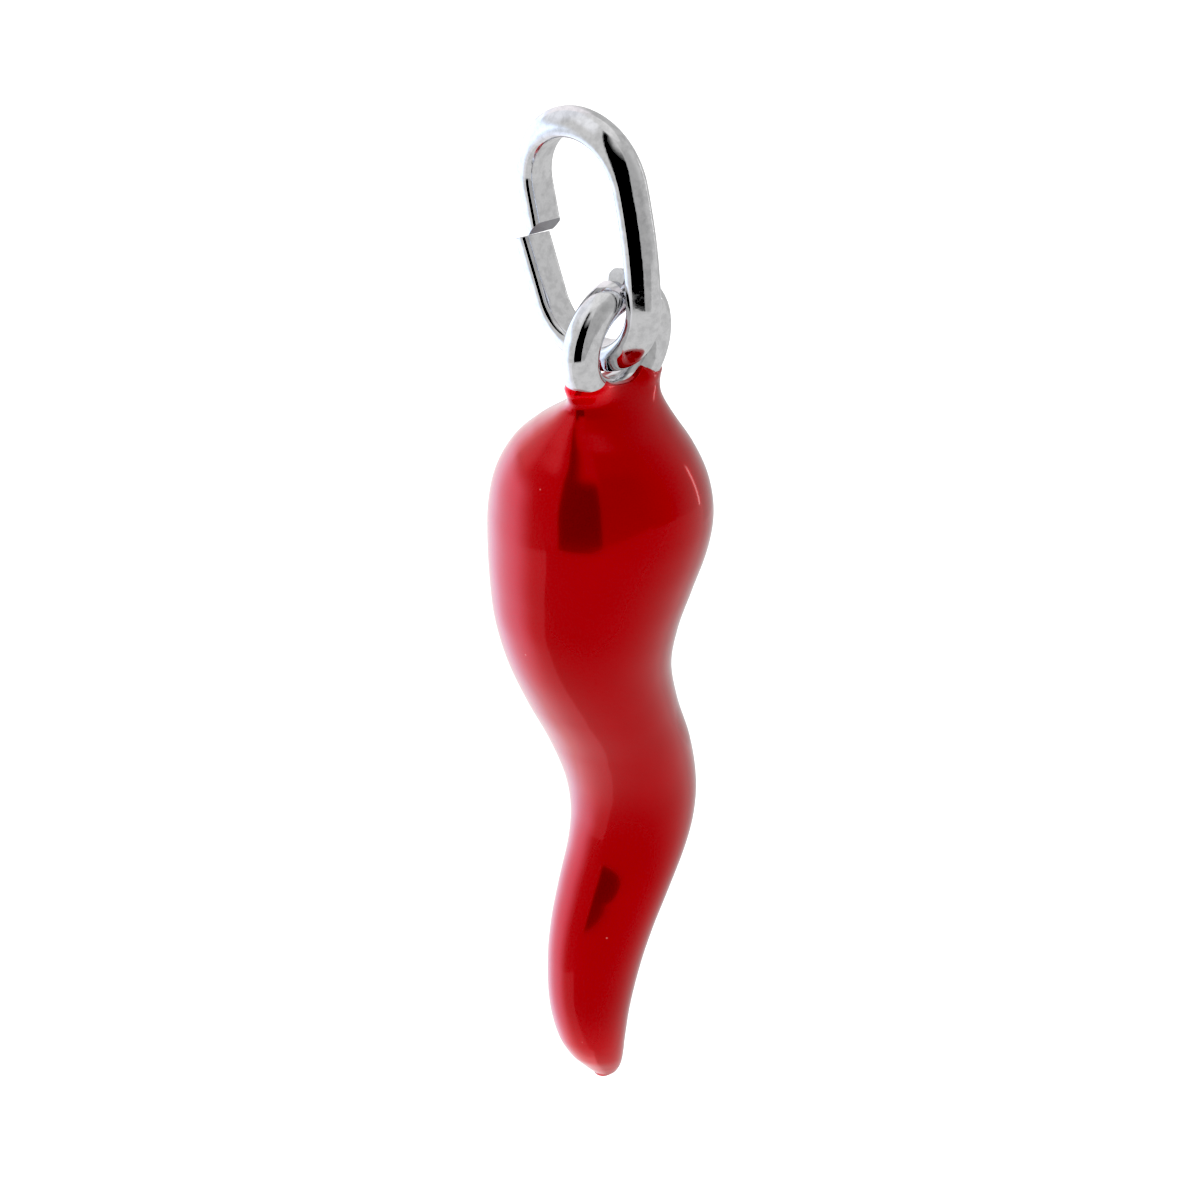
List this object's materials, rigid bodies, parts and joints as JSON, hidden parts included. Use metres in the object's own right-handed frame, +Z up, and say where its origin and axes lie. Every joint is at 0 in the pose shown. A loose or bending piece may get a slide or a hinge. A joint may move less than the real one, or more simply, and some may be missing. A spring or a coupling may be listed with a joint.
{
  "type": "horn pendant",
  "caption": "Wavy horn pendant in glossy enamel, with a small eye ring set in its neck, hanging from an open oval jump ring of half-round wire.",
  "frame": {"origin": "where a chain bears, at the inner top of the jump ring", "axes": "+Z up, -Y the front of the pendant (the bore of the eye ring runs along Y), +X to the right seen from the front"},
  "size_m": [0.0065, 0.0059, 0.0272],
  "materials": {
    "ring_metal": "rhodium-plated silver, polished",
    "eye_metal": "rhodium-plated silver, polished",
    "enamel": "glossy red cold enamel over a metal casting"
  },
  "bodies": {
    "ring": {"jump_ring": "ring_metal"},
    "drop": {"eye_ring": "eye_metal", "horn": "enamel"}
  },
  "joints": [
    {"name": "horn_swing", "type": "hinge", "parent": "ring", "child": "drop", "pos_m": [0, -0.00115, -0.00541], "axis": [0, 0.9976, 0.0698], "range_deg": [-110, 105]}
  ]
}
